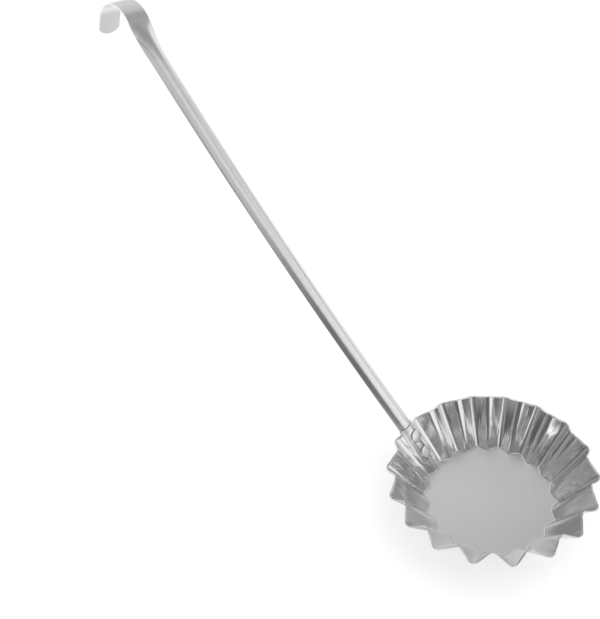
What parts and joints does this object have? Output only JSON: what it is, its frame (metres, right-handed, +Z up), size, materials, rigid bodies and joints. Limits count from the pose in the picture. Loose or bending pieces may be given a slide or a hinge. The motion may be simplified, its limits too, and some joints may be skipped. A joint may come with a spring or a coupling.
{
  "type": "rosette iron",
  "caption": "Fluted sheet-metal cup riveted to a long rolled-channel handle that ends in a flat hanging hook, for frying thin batter shells.",
  "frame": {"origin": "centre of the cup's flat underside", "axes": "+Z up out of the cup's mouth, +X towards the side where the handle leaves the cup, the handle and its hook in the XZ plane but for the hook's slight lean to -Y"},
  "size_m": [0.249, 0.0966, 0.2146],
  "materials": {
    "cup_sheet": "bright tinned sheet, satin",
    "handle_sheet": "bright plated strip",
    "rivet_steel": "bright plated rivet"
  },
  "bodies": {
    "root": {"cup": "cup_sheet", "handle": "handle_sheet", "rivet_lower": "rivet_steel", "rivet_upper": "rivet_steel"}
  },
  "joints": []
}
